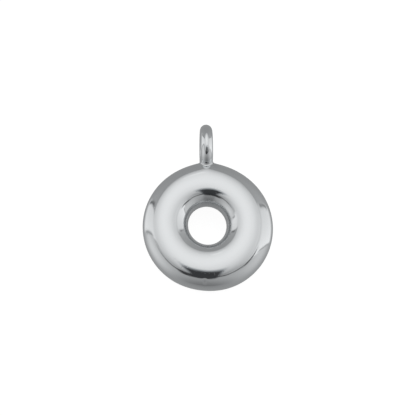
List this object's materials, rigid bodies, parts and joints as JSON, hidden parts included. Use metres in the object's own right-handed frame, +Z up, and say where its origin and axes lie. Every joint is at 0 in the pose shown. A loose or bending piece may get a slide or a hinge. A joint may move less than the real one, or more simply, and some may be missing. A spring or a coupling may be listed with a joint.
{
  "type": "letter charm",
  "caption": "Puffed ring of solid polished metal in the shape of the letter O, with a round wire bail soldered to its rim for hanging it on a chain.",
  "frame": {"origin": "middle of the charm's footprint, on the surface that it lies on", "axes": "+Y along the charm towards the bail, +Z up out of the front, +X along the bail's eye"},
  "size_m": [0.012, 0.016, 0.0046],
  "materials": {
    "polished_metal": "mirror polish"
  },
  "bodies": {
    "root": {"letter_charm": "polished_metal"}
  },
  "joints": []
}
